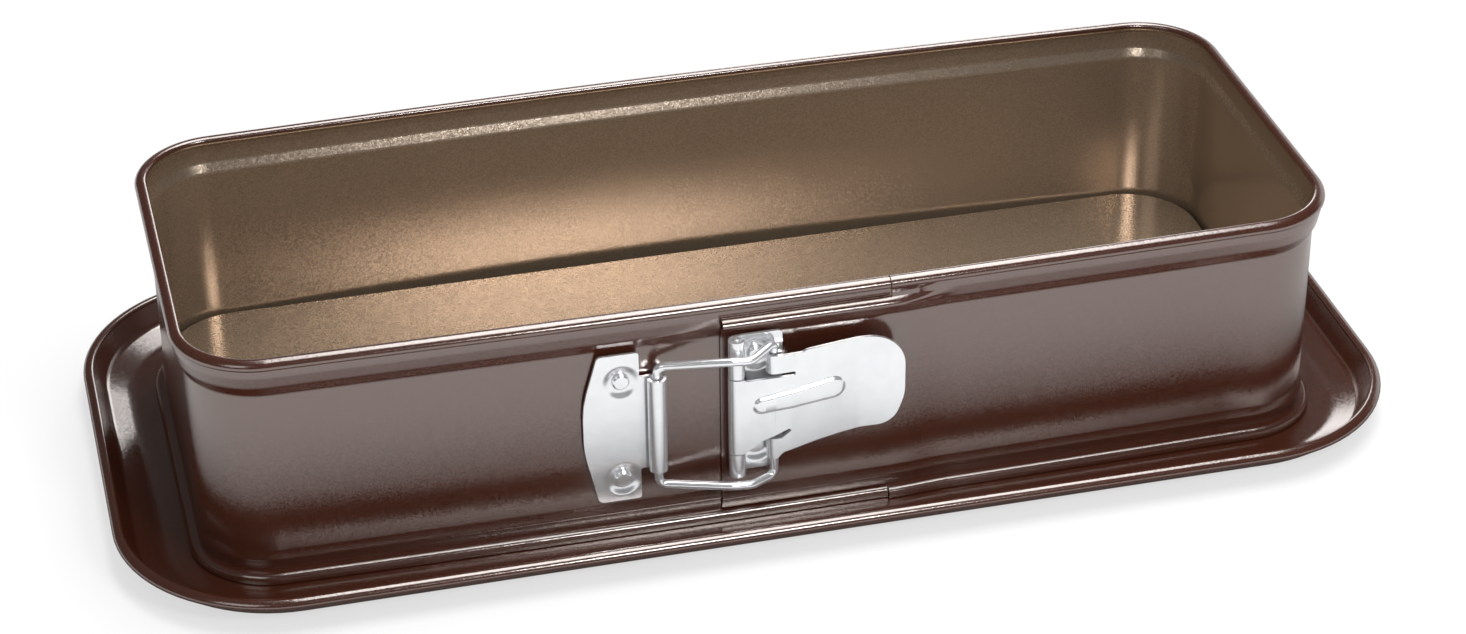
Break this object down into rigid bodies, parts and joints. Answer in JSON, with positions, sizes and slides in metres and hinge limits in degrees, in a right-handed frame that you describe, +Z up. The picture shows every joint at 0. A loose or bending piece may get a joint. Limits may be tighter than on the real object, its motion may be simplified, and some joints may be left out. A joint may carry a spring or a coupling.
{
  "type": "rectangular springform pan",
  "caption": "Rectangular springform baking pan: latched sheet-metal wall ring with rolled rim, standing on a loose drip tray with a raised floor.",
  "frame": {"origin": "centre of the footprint on the table, under the middle of the drip tray", "axes": "+Z up from the table, +X along the long side to the right as seen from the latch, -Y towards the side that carries the latch"},
  "size_m": [0.3416, 0.162, 0.0667],
  "materials": {
    "tray_coating": "satin metallic bronze non-stick coating on steel sheet",
    "wall_coating": "satin metallic mocha non-stick coating on steel sheet",
    "latch_steel": "bright nickel-plated steel"
  },
  "bodies": {
    "tray": {"base_tray": "tray_coating"},
    "pan_left": {"ring_left": "wall_coating", "left_bracket": "latch_steel", "rivet_left_upper": "latch_steel", "rivet_left_lower": "latch_steel"},
    "pan_right": {"ring_right": "wall_coating", "right_bracket": "latch_steel", "rivet_right_upper": "latch_steel", "rivet_right_lower": "latch_steel", "hinge_pin": "latch_steel"},
    "lever": {"lever": "latch_steel"},
    "bail": {"wire_bail": "latch_steel"}
  },
  "joints": [
    {"name": "lift_off", "type": "slide", "parent": "tray", "child": "pan_left", "axis": [0, 0, 1], "range_m": [0, 0.1]},
    {"name": "wall_spring", "type": "hinge", "parent": "pan_left", "child": "pan_right", "pos_m": [0.1293, 0.0603, 0.03], "axis": [0, 0, 1], "range_deg": [0, 3.5]},
    {"name": "lever_turn", "type": "hinge", "parent": "pan_right", "child": "lever", "pos_m": [-0.0133, -0.0632, 0.0344], "axis": [0, 0, -1], "range_deg": [0, 120]},
    {"name": "bail_turn", "type": "hinge", "parent": "pan_left", "child": "bail", "pos_m": [-0.0336, -0.0617, 0.0344], "axis": [0, 0, -1], "range_deg": [0, 34.7]}
  ],
  "couplings": [
    {"joint": "wall_spring", "follows": "lever_turn", "ratio": 0.02915},
    {"joint": "bail_turn", "follows": "lever_turn", "ratio": 0.28896}
  ]
}
